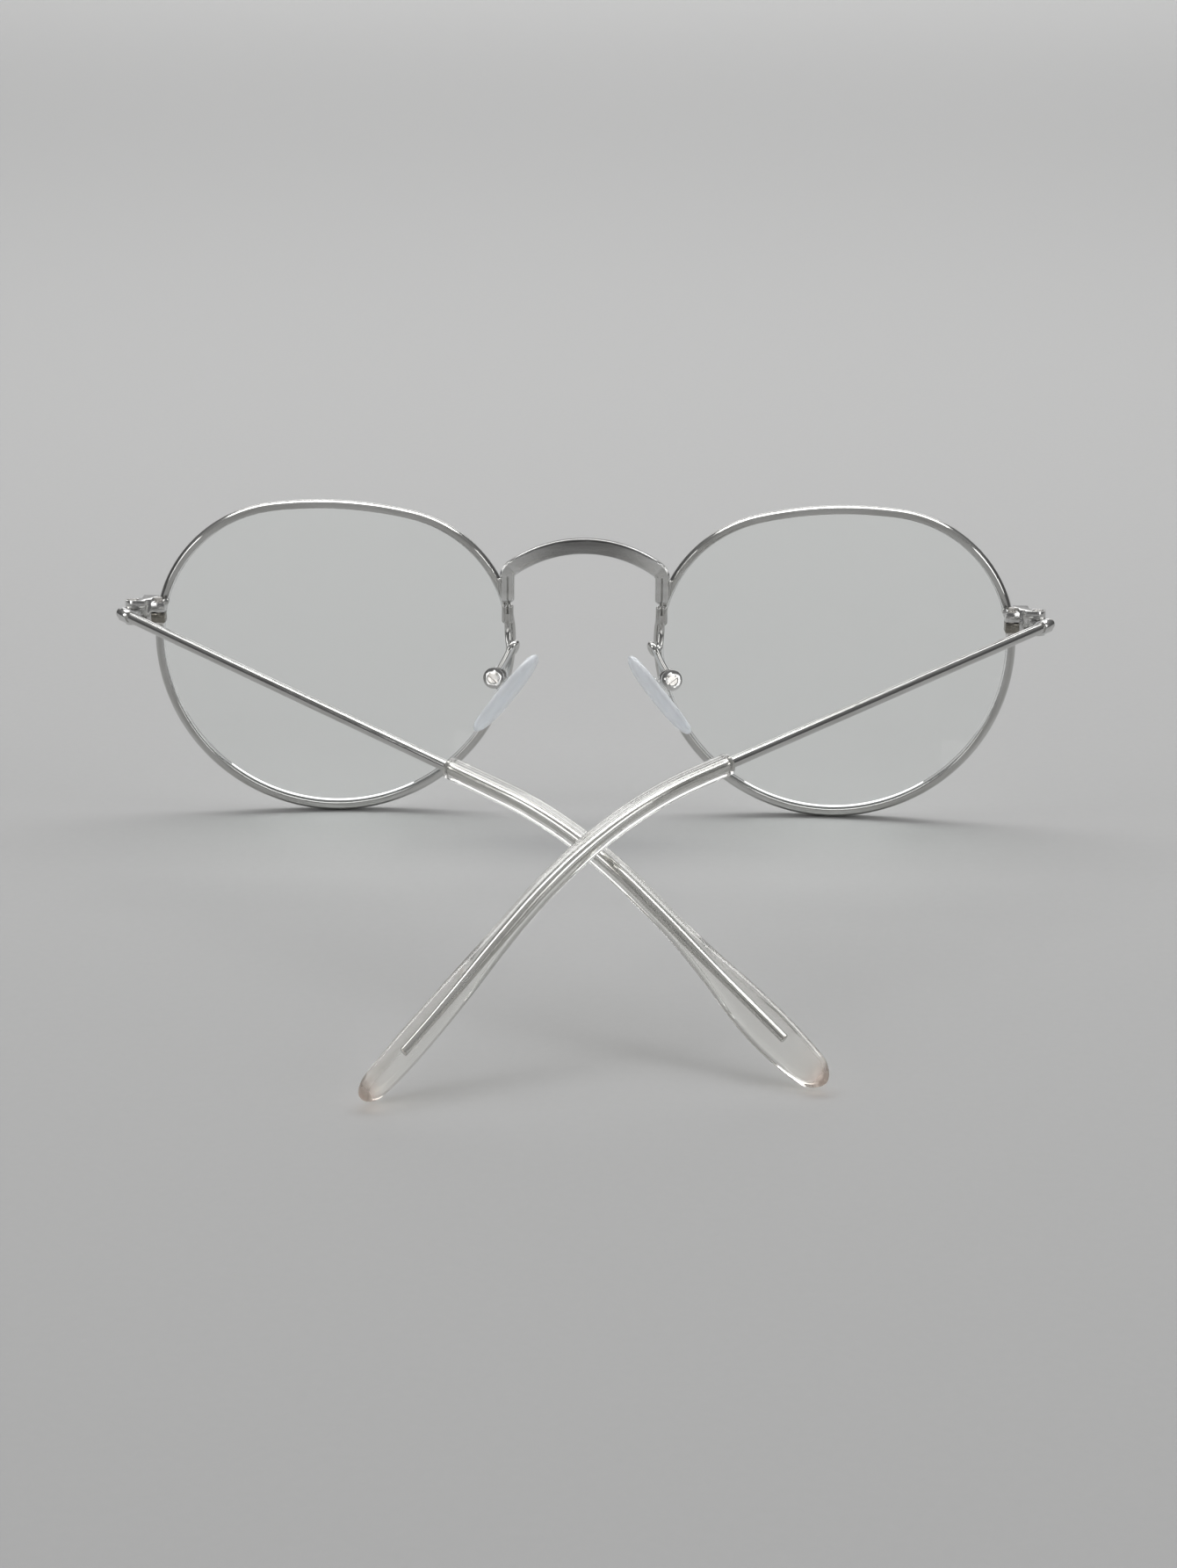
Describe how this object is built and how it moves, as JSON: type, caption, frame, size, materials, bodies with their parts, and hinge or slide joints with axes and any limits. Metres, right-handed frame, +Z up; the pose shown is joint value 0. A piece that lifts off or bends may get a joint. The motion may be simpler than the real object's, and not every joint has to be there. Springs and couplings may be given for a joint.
{
  "type": "round metal eyeglasses",
  "caption": "Round metal-rimmed eyeglasses with an arched bridge, adjustable nose pads, hinged wire arms and clear plastic arm tips.",
  "frame": {"origin": "on the surface the glasses lie on, at the middle of their width and depth", "axes": "+Z up, the front faces -Y, the arms run to +Y, the wearer's left is +X"},
  "size_m": [0.1328, 0.1123, 0.0455],
  "materials": {
    "silver": "polished silver-coloured metal",
    "screw_steel": "turned steel",
    "lens_glass": "clear lens with a faint green-grey cast",
    "clear_plastic": "clear, slightly yellowed",
    "silicone": "clear silicone, satin"
  },
  "bodies": {
    "front": {"bridge": "silver", "left_rim": "silver", "right_rim": "silver", "left_lens": "lens_glass", "right_lens": "lens_glass", "left_rim_lock_upper": "silver", "right_rim_lock_upper": "silver", "left_rim_lock_lower": "silver", "right_rim_lock_lower": "silver", "left_closing_screw": "screw_steel", "right_closing_screw": "screw_steel", "left_endpiece": "silver", "right_endpiece": "silver", "left_hinge_screw": "screw_steel", "right_hinge_screw": "screw_steel", "left_pad_arm": "silver", "right_pad_arm": "silver", "left_pad_box": "silver", "right_pad_box": "silver", "left_pad_screw": "screw_steel", "right_pad_screw": "screw_steel"},
    "left_temple": {"left_temple": "silver", "left_temple_hinge": "silver", "left_temple_tip": "clear_plastic"},
    "right_temple": {"right_temple": "silver", "right_temple_hinge": "silver", "right_temple_tip": "clear_plastic"},
    "left_pad": {"left_pad_insert": "clear_plastic", "left_nose_pad": "silicone"},
    "right_pad": {"right_pad_insert": "clear_plastic", "right_nose_pad": "silicone"}
  },
  "joints": [
    {"name": "left_temple_fold", "type": "hinge", "parent": "front", "child": "left_temple", "pos_m": [0.06418, -0.04859, 0.02994], "axis": [0, 0.061, -0.9981], "range_deg": [-36, 46.5]},
    {"name": "right_temple_fold", "type": "hinge", "parent": "front", "child": "right_temple", "pos_m": [-0.06409, -0.04859, 0.02994], "axis": [0, -0.061, 0.9981], "range_deg": [-37.1, 41.9], "deforming": ["right_temple", "right_temple_tip"]},
    {"name": "left_pad_rock", "type": "hinge", "parent": "front", "child": "left_pad", "pos_m": [0.01242, -0.04458, 0.02201], "axis": [-0.1906, -0.9594, -0.2079], "range_deg": [-8, 8]},
    {"name": "right_pad_rock", "type": "hinge", "parent": "front", "child": "right_pad", "pos_m": [-0.01232, -0.04458, 0.02201], "axis": [-0.1906, 0.9594, 0.2079], "range_deg": [-8, 8]}
  ]
}
